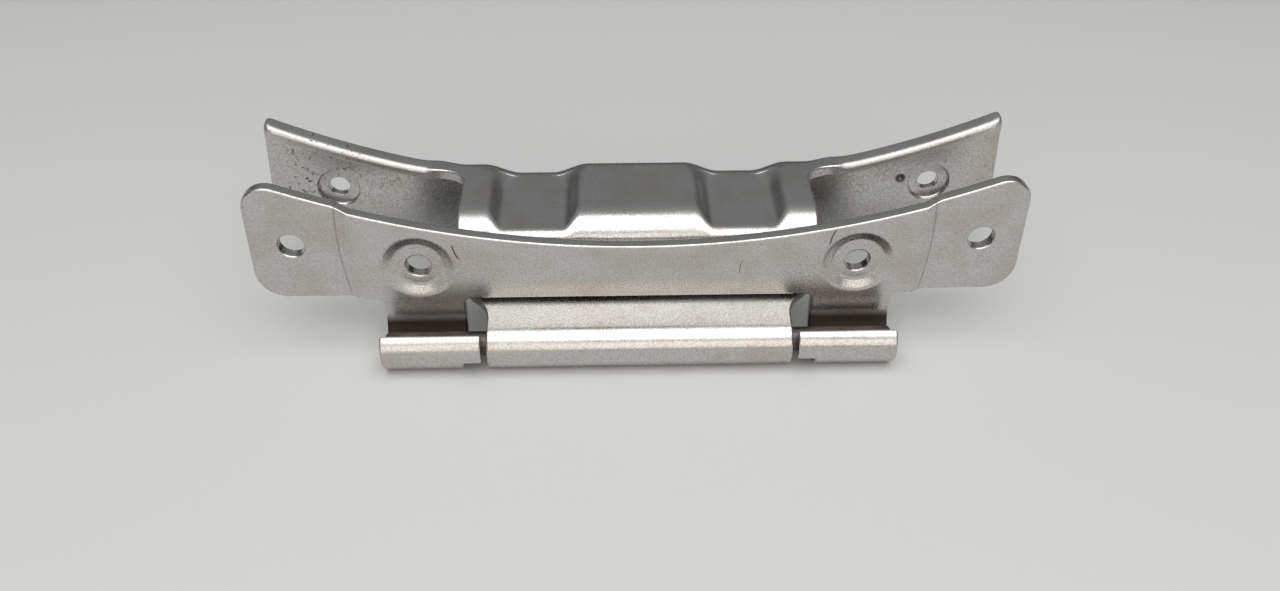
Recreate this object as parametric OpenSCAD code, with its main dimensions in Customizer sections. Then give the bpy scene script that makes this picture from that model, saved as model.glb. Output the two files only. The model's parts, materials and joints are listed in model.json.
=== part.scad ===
// Washing machine door hinge, closed: a pressed door leaf and a bridged cabinet leaf on one pin.
// Millimetres. X runs along the pin, Y runs back to the cabinet and Z runs up.
// The origin is midway between the cabinet screw holes, on the face that meets the cabinet.
// Each leaf is drawn from the pin axis and then set in place by from_pin().

/* [Sheet and pin] */
// Thickness of the steel sheet of both leaves
sheet_t = 2.5; // [2.3:0.1:2.7]
// Diameter of the hinge pin
pin_d = 5; // [4.6:0.1:5.2]
// Length of the hinge pin
pin_l = 103.4; // [100:0.2:104]
// Chamfer on the ends of the pin
pin_chamfer = 0.5; // [0.2:0.1:0.8]
// Radial clearance of the pin in the hooks of the door leaf
pin_clear = 0.05; // [0.03:0.01:0.09]

/* [Door leaf] */
// Length of the door leaf along its lower edge
door_l = 155.4; // [152:0.2:160]
// Lean of the end edges, in degrees
door_lean = 3; // [0:0.5:6]
// Distance from the pin axis back to the front face
door_face = 5.85; // [5.6:0.05:6.2]
// Height of the lower edge above the pin axis
door_low = 7; // [6.8:0.1:7.4]
// Height of the top edge above the pin axis at mid length
door_dip = 19.8; // [18:0.2:22]
// Radius of the hollow top edge
door_arc_r = 188; // [170:1:210]
// Radius of the top corners
door_top_r = 5; // [3:0.5:6]
// Radius of the lower corners
door_low_r = 6; // [3:0.5:7]
// How far the ears are set back
ear_step = 1.25; // [0.5:0.05:1.5]
// Distance from mid length to the set back ears
ear_start = 59; // [57:0.5:60]
// Length of the slope down to the ears
ear_slope = 2.7; // [1.5:0.1:3.5]
// Distance between the two ear holes
ear_pitch = 137.4; // [134:0.2:140]
// Height of the ear holes above the pin axis
ear_hole_z = 20; // [18:0.2:22]
// Diameter of the ear holes
ear_hole_d = 5.2; // [4:0.1:6]

/* [Dished screw seats] */
// Distance between the two dished seats
dish_pitch = 88.6; // [88.2:0.2:92]
// Height of the dished seats above the pin axis
dish_z = 15.3; // [14.8:0.1:15.6]
// Diameter of the flat floor
dish_floor_d = 10.1; // [8:0.1:11]
// Diameter of the rim
dish_rim_d = 14.6; // [13:0.1:15]
// Depth of the seat
dish_depth = 1.1; // [0.5:0.1:1.3]
// Diameter of the hole in the floor
dish_hole_d = 5; // [4:0.1:6]
// How far the hole lies below the centre of the floor
dish_hole_drop = 0.5; // [0:0.1:1]

/* [Hooks] */
// Distance over the outer edges of the two hooks
hook_span = 104.6; // [104.2:0.2:106]
// Width of the strip that carries each hook
strip_w = 16.5; // [15:0.1:18]
// Width of the lug that closes over the pin
lug_w = 20.2; // [19:0.1:21]
// Rise of the free edge of the lug above level, in degrees
lug_top = 61; // [50:1:66]
// Fall of the lower edge of the lug below level, in degrees
lug_fall = 16; // [5:1:30]
// Radius of the inner corner of the free edge
lug_corner_r = 2; // [0.5:0.1:2.5]
// Radius in the corners between the strip and the plate
strip_fillet = 1.8; // [0.5:0.1:2]

/* [Cabinet leaf] */
// Distance from the pin axis back to the cabinet face
pin_reach = 34.3; // [32:0.1:38]
// Height of the cabinet screw holes above the pin axis
wing_hole_z = 17; // [15:0.1:18]
// Length of the wall along its lower edge
wing_l = 159.8; // [156:0.2:166]
// Lean of the end edges, in degrees
wing_lean = 5.3; // [0:0.1:7]
// Height of the lower edge above the pin axis
wing_low = 5.5; // [4:0.1:7]
// Height of the hollow top edge at mid length, if it ran on there
wing_dip = 16.9; // [15.5:0.1:17.5]
// Radius of the hollow top edge
wing_arc_r = 185; // [175:1:190]
// Radius of the top corners
wing_top_r = 1.5; // [1:0.1:3]
// Radius of the lower corners
wing_low_r = 6; // [3:0.5:8]
// Rolled rounding of the top edge on its front side
wing_roll_r = 1.9; // [0.5:0.1:2]
// Distance between the two cabinet screw holes
wing_pitch = 128.8; // [124:0.2:134]
// Diameter of the cabinet screw holes
wing_hole_d = 4.4; // [4:0.1:5]
// Diameter of the sunk spot around each hole
spot_d = 9; // [7:0.1:11]
// Depth of the sunk spot
spot_depth = 0.8; // [0.3:0.1:1]
// Distance from mid length to the locating dimple
dimple_x = 58; // [56:0.1:59]
// Height of the locating dimple above the pin axis
dimple_z = 18.1; // [16:0.1:20]
// Diameter of the locating dimple
dimple_d = 1.6; // [1:0.1:2]

/* [Bridge] */
// Width of the bridge
bridge_w = 73; // [72:0.2:73.4]
// Height of the bridge above the pin axis
bridge_h = 22.5; // [21.5:0.1:23]
// Outer radius of the front bend
bend_front_r = 7.2; // [5:0.1:8]
// Outer radius of the rear bend
bend_rear_r = 3; // [2.8:0.1:4]
// Gap between the door leaf and the front of the bridge
door_gap = 0.95; // [0.7:0.05:1.1]
// Radius of the corners between the bridge and the wings
bridge_fillet = 4.4; // [2:0.1:5]
// Distance from mid length to the end of those corners
shelf_x = 45.5; // [44:0.1:48]
// Depth of the two channels pressed into the bridge
channel_depth = 2.2; // [1:0.1:2.5]
// Width of the flat floor of each channel
channel_floor_w = 12; // [9:0.2:13]
// Width of the sloping sides of each channel
channel_side_w = 3.8; // [2.6:0.1:4.2]
// Distance from mid length to the middle of each channel
channel_x = 21.4; // [20:0.1:22]
// Outer radius of the front bend in the channels
channel_bend_r = 2.9; // [2.6:0.1:3.5]

/* [Tongue and knuckle] */
// Gap between the middle knuckle and each lug
knuckle_gap = 1.1; // [0.5:0.1:1.5]
// Gap between the tongue and the lower edge of the door leaf
tongue_gap = 0.6; // [0.4:0.05:0.8]
// Inner radius of the bend from the tongue up to the bridge
tongue_bend_r = 1.5; // [1.2:0.1:2]
// Radius of the shoulders beside the tongue
shoulder_r = 7.6; // [7:0.1:7.8]
// Distance from the pin axis back to the start of the shoulders
shoulder_y = 1.5; // [1:0.1:2]
// How far the knuckle is rolled on past its lowest line, in degrees
knuckle_wrap = 105; // [60:5:115]

/* [Hidden] */
$fn = 120;
cut = 1;
far = 60;
steel = "lightgrey";
arc_steps = 8;
// Curves that run into each other cross by this much, so that none of them only touch
cross = 0.005;

pin_r = pin_d / 2;
hook_r = pin_r + pin_clear;
knuckle_r = pin_r + sheet_t;

// Door leaf, measured from the pin axis
door_back = door_face + sheet_t;
hook_out = hook_span / 2;
strip_in = hook_out - strip_w;
lug_in = hook_out - lug_w;
hook_lead_z = door_face - hook_r;
dish_spread = sheet_t * tan(atan(2 * dish_depth / (dish_rim_d - dish_floor_d)) / 2);

// Cabinet leaf, measured from the pin axis
bridge_front = door_back + door_gap;
wall_face = pin_reach - sheet_t;
bridge_half = bridge_w / 2;
knuckle_half = lug_in - knuckle_gap;
tongue_end = [door_back, door_low - tongue_gap];
tongue_turn = atan2(tongue_end.y, tongue_end.x) + acos(knuckle_r / norm(tongue_end));
tongue_bend_y = bridge_front - tongue_bend_r;
roll_lap = 6;
tongue_bend_z = (knuckle_r + tongue_bend_r - tongue_bend_y * cos(tongue_turn)) / sin(tongue_turn);

function unit(v) = v / norm(v);
function arc(c, r, a0, a1, n) = [for (i = [0:n]) c + r * [cos(a0 + (a1 - a0) * i / n), sin(a0 + (a1 - a0) * i / n)]];
function flip(v) = [-v.x, v.y];

// Where the line from p along the unit vector u first comes within r of c
function meet(p, u, c, r) = let (b = (p - c) * u) p + u * (-b - sqrt(b * b - (p - c) * (p - c) + r * r));

// Smooth step from 0 to 1 as x goes from a to b
function ramp(x, a, b) = (1 - cos(180 * min(max((x - a) / (b - a), 0), 1))) / 2;

// Places what was drawn from the pin axis
module from_pin() {
    translate([0, -pin_reach, -wing_hole_z]) children();
}

module mirrored() {
    children();
    mirror([1, 0, 0]) children();
}

// Turns an outline in Y and Z into a bar from x0 to x1
module along_x(x0, x1) {
    translate([x0, 0, 0]) rotate([90, 0, 90]) linear_extrude(x1 - x0) children();
}

// Turns an outline in X and Z into a plate from y0 to y1
module along_y(y0, y1) {
    translate([0, y1, 0]) rotate([90, 0, 0]) linear_extrude(y1 - y0) children();
}

// Part of a ring between two angles
module ring_arc(r_in, r_out, a0, a1) {
    intersection() {
        difference() {
            circle(r_out);
            circle(r_in);
        }
        polygon(concat([[0, 0]], arc([0, 0], 2 * r_out, a0, a1, 6)));
    }
}

// What a fillet of radius r takes off a square corner at the origin
module spandrel(r) {
    difference() {
        translate([-cut, -cut]) square(r + cut);
        translate([r, r]) circle(r);
    }
}

// Outline of a plate with leaning ends, rounded corners and a hollow top edge
module hollow_plate(l, low, lean, dip, arc_r, top_r, low_r) {
    foot = [l / 2, low];
    up = [-sin(lean), cos(lean)];
    inward = [-cos(lean), -sin(lean)];
    hub = [0, dip + arc_r];
    tip = meet(foot, up, hub, arc_r);
    top_c = meet(foot + inward * top_r, up, hub, arc_r + top_r);
    low_c = foot + inward * low_r + up * (low_r - inward.y * low_r) / up.y;
    top_hub = top_c + unit(hub - top_c) * top_r;
    difference() {
        polygon([flip(foot), foot, foot + up * (tip.y - low + cut), flip(foot + up * (tip.y - low + cut))]);
        translate(hub) circle(arc_r, $fn = 360);
        mirrored() difference() {
            union() {
                polygon([top_c, top_c - inward * (top_r + cut), tip + up * cut, top_hub + [0, cut], top_hub]);
                polygon([low_c, low_c - inward * (low_r + cut), foot + [cut, -cut], [low_c.x, low - cut]]);
            }
            translate(top_c) circle(top_r + cross);
            translate(low_c) circle(low_r + cross);
        }
    }
}

// Pressed seat: sinks the front of a plate and stands out as far at its back
module seat_boss(floor_r, rim_r, depth, face, spread) {
    rotate([-90, 0, 0]) translate([0, 0, face + sheet_t]) cylinder(h = depth, r1 = rim_r + spread, r2 = floor_r + spread);
}

module seat_sink(floor_r, rim_r, depth, face) {
    rotate([-90, 0, 0]) translate([0, 0, face]) cylinder(h = depth, r1 = rim_r, r2 = floor_r);
    rotate([-90, 0, 0]) translate([0, 0, face - cut]) cylinder(h = cut, r = rim_r);
}

module through_hole(d, face) {
    rotate([-90, 0, 0]) translate([0, 0, face - cut]) cylinder(h = sheet_t + 3 * cut, d = d);
}

// Section of a hook: down behind the pin, under it and up its front
module hook_section() {
    translate([door_face, hook_lead_z]) square([sheet_t, door_low - hook_lead_z + cut]);
    translate([0, hook_lead_z]) ring_arc(door_face, door_back, -90, 0);
    ring_arc(hook_r, hook_r + sheet_t, 180 - lug_top, 270);
}

module lug_section() {
    ring_arc(hook_r, hook_r + sheet_t, 180 - lug_top, 180 + lug_fall);
}

// Plan of the door leaf plate, with its ears set back
module door_plan() {
    front = [[far * 2, door_face + ear_step], [ear_start, door_face + ear_step], [ear_start - ear_slope, door_face]];
    back = [[ear_start - ear_slope, door_back], [ear_start, door_back + ear_step], [far * 2, door_back + ear_step]];
    polygon(concat([for (i = [0:2]) flip(front[i])], [for (i = [2:-1:0]) front[i]],
                   [for (i = [2:-1:0]) back[i]], [for (i = [0:2]) flip(back[i])]));
}

module door_plate() {
    intersection() {
        along_y(0, far) hollow_plate(door_l, door_low, door_lean, door_dip, door_arc_r, door_top_r, door_low_r);
        linear_extrude(far) door_plan();
    }
}

// Hook with its lug, and the fillets where its strip leaves the plate
module hook() {
    along_x(strip_in, hook_out) hook_section();
    along_x(lug_in, strip_in + cut) lug_section();
    for (side = [0, 1])
        translate([side == 0 ? strip_in : hook_out, 0, door_low]) mirror([1 - side, 0, 0])
            along_y(door_face, door_back) mirror([0, 1]) intersection() {
                spandrel(strip_fillet);
                translate([-0.01, -0.01]) square(strip_fillet + cut);
            }
}

module lug_corner_cut() {
    translate([lug_in, 0, 0]) rotate([lug_top, 0, 0]) along_y(-far, 0) mirror([0, 1]) spandrel(lug_corner_r);
}

module front_leaf() {
    color(steel) from_pin() difference() {
        union() {
            door_plate();
            mirrored() hook();
            mirrored() translate([dish_pitch / 2, 0, dish_z])
                seat_boss(dish_floor_d / 2, dish_rim_d / 2, dish_depth, door_face, dish_spread);
        }
        mirrored() {
            lug_corner_cut();
            translate([dish_pitch / 2, 0, dish_z]) seat_sink(dish_floor_d / 2, dish_rim_d / 2, dish_depth, door_face);
            translate([dish_pitch / 2, 0, dish_z - dish_hole_drop]) through_hole(dish_hole_d, door_face);
            translate([ear_pitch / 2, 0, ear_hole_z]) through_hole(ear_hole_d, door_face + ear_step);
        }
    }
}

// Height of the bridge at x, across its two channels
function bridge_z(x) = let (d = abs(abs(x) - channel_x))
    bridge_h - channel_depth * (1 - ramp(d, channel_floor_w / 2, channel_floor_w / 2 + channel_side_w));

function side_xs(x0, x1) = [for (i = [0:arc_steps]) x0 + (x1 - x0) * i / arc_steps];

module bridge_wave(inset) {
    inner = channel_floor_w / 2;
    outer = inner + channel_side_w;
    xs = concat([0], side_xs(channel_x - outer, channel_x - inner), side_xs(channel_x + inner, channel_x + outer), [far]);
    top = [for (x = xs) [x, bridge_z(x) - inset]];
    n = len(top) - 1;
    polygon(concat([[-far, -far]], [for (i = [n:-1:1]) flip(top[i])], top, [[far, -far]]));
}

// Side outline of the bridge, drawn in by inset
module bridge_side(top, front_r, inset) {
    y0 = bridge_front + inset;
    y1 = pin_reach - inset;
    z1 = top - inset;
    rf = front_r - inset;
    rr = bend_rear_r - inset;
    translate([y0, -far]) square([y1 - y0, far + z1 - max(rf, rr)]);
    translate([y0 + rf, -far]) square([y1 - y0 - rf, far + z1 - rr]);
    translate([y0 + rf, -far]) square([y1 - y0 - rf - rr, far + z1]);
    translate([y0 + rf, z1 - rf]) circle(rf);
    translate([y1 - rr, z1 - rr]) circle(rr);
}

// Solid under the bridge, drawn in by inset
module bridge_bulk(inset) {
    intersection() {
        along_x(-far, far) bridge_side(bridge_h, bend_front_r, inset);
        along_y(-far, far) bridge_wave(inset);
    }
    mirrored() intersection() {
        along_x(channel_x - channel_floor_w / 2, channel_x + channel_floor_w / 2)
            bridge_side(bridge_h - channel_depth, channel_bend_r, inset);
        along_y(-far, bridge_front + bend_front_r) translate([channel_x, 0])
            polygon([[-channel_floor_w / 2, bridge_h], [channel_floor_w / 2, bridge_h], [0, 0]]);
    }
}

// Plan of the bridge, widening into the wings at its rear bend
module bridge_plan() {
    corner = [bridge_half + bridge_fillet, wall_face - 2 * bridge_fillet];
    side = concat([[bridge_half, 0]], arc(corner, bridge_fillet, 180, 110, arc_steps),
                  [[shelf_x, wall_face], [shelf_x, far]]);
    n = len(side) - 1;
    polygon(concat(side, [for (i = [n:-1:0]) flip(side[i])]));
}

module bridge() {
    intersection() {
        difference() {
            bridge_bulk(0);
            bridge_bulk(sheet_t);
        }
        translate([0, 0, tongue_bend_z]) linear_extrude(far) bridge_plan();
    }
}

// Outline of the tongue seen from above, with its shoulders
module tongue_plan() {
    difference() {
        translate([-bridge_half, shoulder_y]) square([bridge_w, far]);
        mirrored() translate([knuckle_half + shoulder_r, shoulder_y]) circle(shoulder_r);
    }
    translate([-knuckle_half, -far]) square([2 * knuckle_half, far + shoulder_y + cut]);
}

// Section of the tongue and of the bend up into the front wall of the bridge
module tongue_section() {
    bend = [tongue_bend_y, tongue_bend_z];
    root = [cos(tongue_turn), sin(tongue_turn)];
    polygon(concat([root * (pin_r - cross)], arc(bend, tongue_bend_r + sheet_t, tongue_turn - 180, 0, 2 * arc_steps),
                   [[bridge_front + sheet_t, tongue_bend_z + cut], [bridge_front, tongue_bend_z + cut]],
                   arc(bend, tongue_bend_r, 0, tongue_turn - 180, 2 * arc_steps), [root * (knuckle_r - cross)]));
}

// The middle knuckle: the tongue runs into a roll that closes round the pin
module knuckle() {
    difference() {
        union() {
            intersection() {
                along_x(-far, far) tongue_section();
                translate([0, 0, -far]) linear_extrude(2 * far) tongue_plan();
            }
            along_x(-knuckle_half, knuckle_half)
                ring_arc(pin_r, knuckle_r, tongue_turn - roll_lap, 270 + knuckle_wrap);
        }
        along_x(-far, far) circle(pin_r);
    }
}

module wings() {
    difference() {
        along_y(wall_face, pin_reach)
            hollow_plate(wing_l, wing_low, wing_lean, wing_dip, wing_arc_r, wing_top_r, wing_low_r);
        translate([0, wall_face, wing_dip + wing_arc_r]) rotate([-90, 0, 0]) rotate_extrude($fn = 180)
            translate([wing_arc_r, 0]) spandrel(wing_roll_r, $fn = 32);
    }
}

module rear_leaf() {
    spot_rim_r = spot_d / 2;
    spot_floor_r = spot_rim_r - spot_depth / 2;
    color(steel) from_pin() difference() {
        union() {
            wings();
            bridge();
            knuckle();
        }
        mirrored() translate([wing_pitch / 2, 0, wing_hole_z]) {
            seat_sink(spot_floor_r, spot_rim_r, spot_depth, wall_face);
            through_hole(wing_hole_d, wall_face);
        }
        translate([dimple_x, wall_face, dimple_z]) sphere(d = dimple_d, $fn = 24);
    }
}

module hinge_pin() {
    color(steel) from_pin() rotate([0, 90, 0]) {
        cylinder(h = pin_l - 2 * pin_chamfer, r = pin_r, center = true);
        for (end = [0, 1]) mirror([0, 0, end]) translate([0, 0, pin_l / 2 - pin_chamfer])
            cylinder(h = pin_chamfer, r1 = pin_r, r2 = pin_r - pin_chamfer);
    }
}

rear_leaf();
front_leaf();
hinge_pin();
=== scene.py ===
"""Dresses the washing machine door hinge: two plated pressed leaves on one pin, on a pale floor.

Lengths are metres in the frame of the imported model: X runs along the pin, Y goes back to the
cabinet and Z goes up.
"""

import json

import bmesh
import bpy
import numpy as np
from bpy.props import FloatProperty, FloatVectorProperty, IntProperty, PointerProperty
from mathutils import Matrix, Vector


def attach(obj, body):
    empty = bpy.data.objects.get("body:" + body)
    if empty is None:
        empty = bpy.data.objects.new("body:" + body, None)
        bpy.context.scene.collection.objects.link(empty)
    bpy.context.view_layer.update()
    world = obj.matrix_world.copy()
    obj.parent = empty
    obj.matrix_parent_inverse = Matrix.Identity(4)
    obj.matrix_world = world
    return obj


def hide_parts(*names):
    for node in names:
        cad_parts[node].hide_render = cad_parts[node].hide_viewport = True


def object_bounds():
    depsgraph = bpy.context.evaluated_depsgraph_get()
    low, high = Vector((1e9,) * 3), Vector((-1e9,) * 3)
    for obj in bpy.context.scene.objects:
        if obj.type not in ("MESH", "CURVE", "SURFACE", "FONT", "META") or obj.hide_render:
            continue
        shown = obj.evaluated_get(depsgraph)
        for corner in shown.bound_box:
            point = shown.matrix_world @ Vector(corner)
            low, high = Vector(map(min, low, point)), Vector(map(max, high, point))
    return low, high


bl_info = {
    "name": "Washing machine door hinge",
    "version": (1, 0, 0),
    "blender": (4, 5, 0),
    "location": "3D View > Sidebar > Hinge",
    "description": "Finishes the leaves and the pin of a door hinge and sets them on a plain stage",
    "category": "Object",
}

# One millimetre, and how close two points must be to become one
MM = 0.001
MERGE = 0.5e-6
# The colour sockets of a Mix node
MIX_A, MIX_B, MIX_RESULT = 6, 7, 2
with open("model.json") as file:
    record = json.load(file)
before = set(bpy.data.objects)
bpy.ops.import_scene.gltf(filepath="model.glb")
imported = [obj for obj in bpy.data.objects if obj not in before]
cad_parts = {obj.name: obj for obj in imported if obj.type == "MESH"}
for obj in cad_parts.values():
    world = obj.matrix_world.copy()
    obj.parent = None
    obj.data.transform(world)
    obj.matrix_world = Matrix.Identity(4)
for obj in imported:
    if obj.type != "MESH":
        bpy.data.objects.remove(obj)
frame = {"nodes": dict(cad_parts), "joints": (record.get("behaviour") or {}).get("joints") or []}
cad_low, cad_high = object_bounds()
PIN_AXIS = Vector(frame["joints"][0]["pos_m"])
# Place along Y of the front face of the door leaf's plate
DOOR_FACE = PIN_AXIS.y + 5.95 * MM


def length(name, description, millimetres):
    """A length that the panel shows in the user's units."""
    return FloatProperty(name=name, description=description, default=millimetres * MM, unit="LENGTH")


def angle(name, description, degrees):
    """An angle that the panel shows in degrees."""
    default = np.radians(degrees)
    return FloatProperty(name=name, description=description, default=default, subtype="ANGLE")


def colour(name, description, value):
    """A colour that the panel shows as a swatch."""
    return FloatVectorProperty(
        name=name, description=description, default=value, subtype="COLOR", min=0, max=1
    )


def fraction(name, description, value):
    """A plain number from 0 to 1."""
    return FloatProperty(name=name, description=description, default=value, min=0, max=1)


def power(name, description, watts):
    """The power of a lamp."""
    return FloatProperty(name=name, description=description, default=watts, min=0, unit="POWER")


class HingeEdges(bpy.types.PropertyGroup):
    """Sizes of the rounded edges that stamping and tumbling leave."""

    sheet_round: length("Sheet edge", "Rounding of the stamped edges", 0.45)
    pin_round: length("Pin edge", "Rounding of the ends of the pin", 0.15)
    steps: IntProperty(name="Steps", description="Faces across a rounded edge", default=3, min=1, max=6)
    sharp_angle: angle("Sharp angle", "Edges that turn by more than this are rounded", 18)


class HingeSheet(bpy.types.PropertyGroup):
    """Sizes of the cabinet leaf. Heights are above the pin axis, places along X are from mid length."""

    thick: length("Thickness", "Thickness of the sheet", 2.5)
    wing_low: length("Wall foot", "Height of the lower edge of the wall", 5.5)
    wing_dip: length("Wing dip", "Height the hollow top edge would have at mid length", 16.9)
    wing_hollow: length("Wing hollow", "Radius of the hollow top edge", 185)
    wing_half: length("Wing reach", "Half the length of the wall along its foot", 79.85)
    wing_lean: angle("Wing lean", "Lean of the end edges", 5.3)
    wing_low_round: length("Lower corner", "Radius of the lower corners of the wings", 6)
    wing_top_round: length("Top corner", "Radius of the top corners of the wings", 1.5)
    wing_lip: length("Wing lip", "How far the wing's top edge stands in front of the wall", 1.6)
    lip_end: length("Lip end", "Over how much of the wing's outer end the lip runs out", 3)
    wing_back: length("Lip back", "Rounding of the back of the wing's top edge", 0.7)
    wing_roll: length("Rolled rim", "Rounding of the front of the wing's top edge", 1.4)
    bridge_half: length("Bridge half width", "Half the width of the bridge", 36.5)
    bridge_top: length("Bridge height", "Height of the bridge", 22.5)
    bridge_front: length("Bridge front", "From the pin axis back to the front of the bridge", 9.3)
    flare_x: length("Flare length", "How far the bridge widens into each wing", 6.7)
    flare_y: length("Flare depth", "How far in front of the wall the widening starts", 5.8)
    front_bend: length("Front bend", "Outer radius of the front bend", 7.2)
    rear_bend: length("Rear bend", "Outer radius of the rear bend", 3)
    channel_bend: length("Channel bend", "Outer radius of the front bend in the channels", 2.9)
    channel_x: length("Channel place", "Place of the middle of each channel", 21.4)
    channel_depth: length("Channel depth", "Depth of the channels", 2.2)
    channel_floor: length("Channel floor", "Width of the flat floor of a channel", 12)
    channel_side: length("Channel side", "Width of the sloping side of a channel", 3.8)
    tongue_bend: length("Tongue bend", "Inner radius of the bend from the tongue up to the bridge", 1.5)
    tongue_turn: angle("Tongue turn", "Where round the pin the tongue runs into the roll", 99.1)
    roll_end: angle("Roll end", "Where round the pin the roll ends", 375)
    roll_round: length("Roll radius", "Outer radius of the roll round the pin", 5)
    knuckle_half: length("Knuckle half width", "Half the width of the middle knuckle", 31)
    shoulder_round: length("Shoulder", "Radius of the shoulders beside the tongue", 7.6)
    shoulder_y: length("Shoulder place", "From the pin axis back to the start of the shoulders", 1.5)
    edge: length("Edge", "Rounding of the edges of the sheet", 0.45)
    hole: length("Screw hole", "Radius of the cabinet screw holes", 2.2)
    hole_x: length("Hole place", "Place of the cabinet screw holes", 64.4)
    hole_z: length("Hole height", "Height of the cabinet screw holes", 17)
    spot: length("Sunk spot", "Radius of the sunk spot round each hole", 4.5)
    spot_depth: length("Spot depth", "Depth of the sunk spot", 0.8)
    dimple: length("Dimple", "Radius of the locating dimple", 0.8)
    dimple_x: length("Dimple place", "Place of the locating dimple", 58)
    dimple_z: length("Dimple height", "Height of the locating dimple", 18.1)


class HingeFinish(bpy.types.PropertyGroup):
    """Colours, gloss and grain of the zinc plating."""

    zinc: colour("Zinc", "Colour of clean plating", (0.60, 0.595, 0.585))
    tarnish: colour("Tarnish", "Colour of the warm bloom in the plating", (0.52, 0.455, 0.41))
    shade: colour("Grain", "Colour between the grains of the plating", (0.34, 0.30, 0.285))
    # The stain colour also paints shade: the groove behind the pin and the lines along the jogs
    stain_and_shade: colour("Stain", "Colour of the dark marks", (0.045, 0.034, 0.03))
    # The pin's dark front: partly old grease, partly painted shade of the groove it lies in
    grease_and_shade: colour("Grease", "Colour of the old grease on the pin", (0.035, 0.028, 0.027))
    rubbed: colour("Rubbed", "Colour of the pin where the grease is rubbed off", (0.17, 0.145, 0.14))
    bare: colour("Bare steel", "Colour of the clean side of the pin", (0.50, 0.48, 0.465))
    grain: length("Grain size", "Size of the grain of the plating", 0.38)
    gloss_low: fraction("Gloss", "Roughness where the plating is brightest", 0.17)
    gloss_high: fraction("Satin", "Roughness where the plating is dullest", 0.27)


class HingeStage(bpy.types.PropertyGroup):
    """Floor, lamps and camera."""

    floor: colour("Floor", "Colour of the floor", (0.62, 0.62, 0.61))
    room: colour("Room", "Colour of the soft light overhead", (0.27, 0.28, 0.28))
    skyline: colour("Skyline", "Colour of the soft light near the floor", (0.075, 0.08, 0.08))
    sky_low: fraction("Low sky", "Height above the skyline where the room grows lighter", 0.2)
    sky_high: fraction("High sky", "Height above the skyline where the room is at its lightest", 0.6)
    main_power: power("Main lamp", "Power of the lamp overhead", 4.8)
    front_power: power("Front lamp", "Power of the low lamp", 2.2)
    front_colour: colour("Front colour", "Colour of the low lamp", (1.0, 0.95, 0.88))
    pitch: angle("Pitch", "How far the camera looks down", 39.99)
    yaw: angle("Yaw", "How far the camera looks to the right", 2.01)
    roll: angle("Roll", "Tilt of the camera", 0.53)
    distance: length("Distance", "From the camera to the pin", 217.66)
    rise: length("Rise", "How far above the pin the camera aims", 9.304)
    view_angle: angle("View angle", "Angle across the long side of the picture", 62.36)


class Nodes:
    """A new material and short ways to add and join its nodes."""

    def __init__(self, name):
        self.material = bpy.data.materials.new(name)
        self.material.use_nodes = True
        self.tree = self.material.node_tree
        self.shader = self.tree.nodes["Principled BSDF"]

    def add(self, kind, **settings):
        """A new node, with each setting put into the socket or the property of that name."""
        node = self.tree.nodes.new(kind)
        for key, value in settings.items():
            if key in node.inputs:
                node.inputs[key].default_value = value
            else:
                setattr(node, key, value)
        return node

    def link(self, source, output, target, socket):
        """Joins source's output to target's socket."""
        self.tree.links.new(source.outputs[output], target.inputs[socket])


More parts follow.
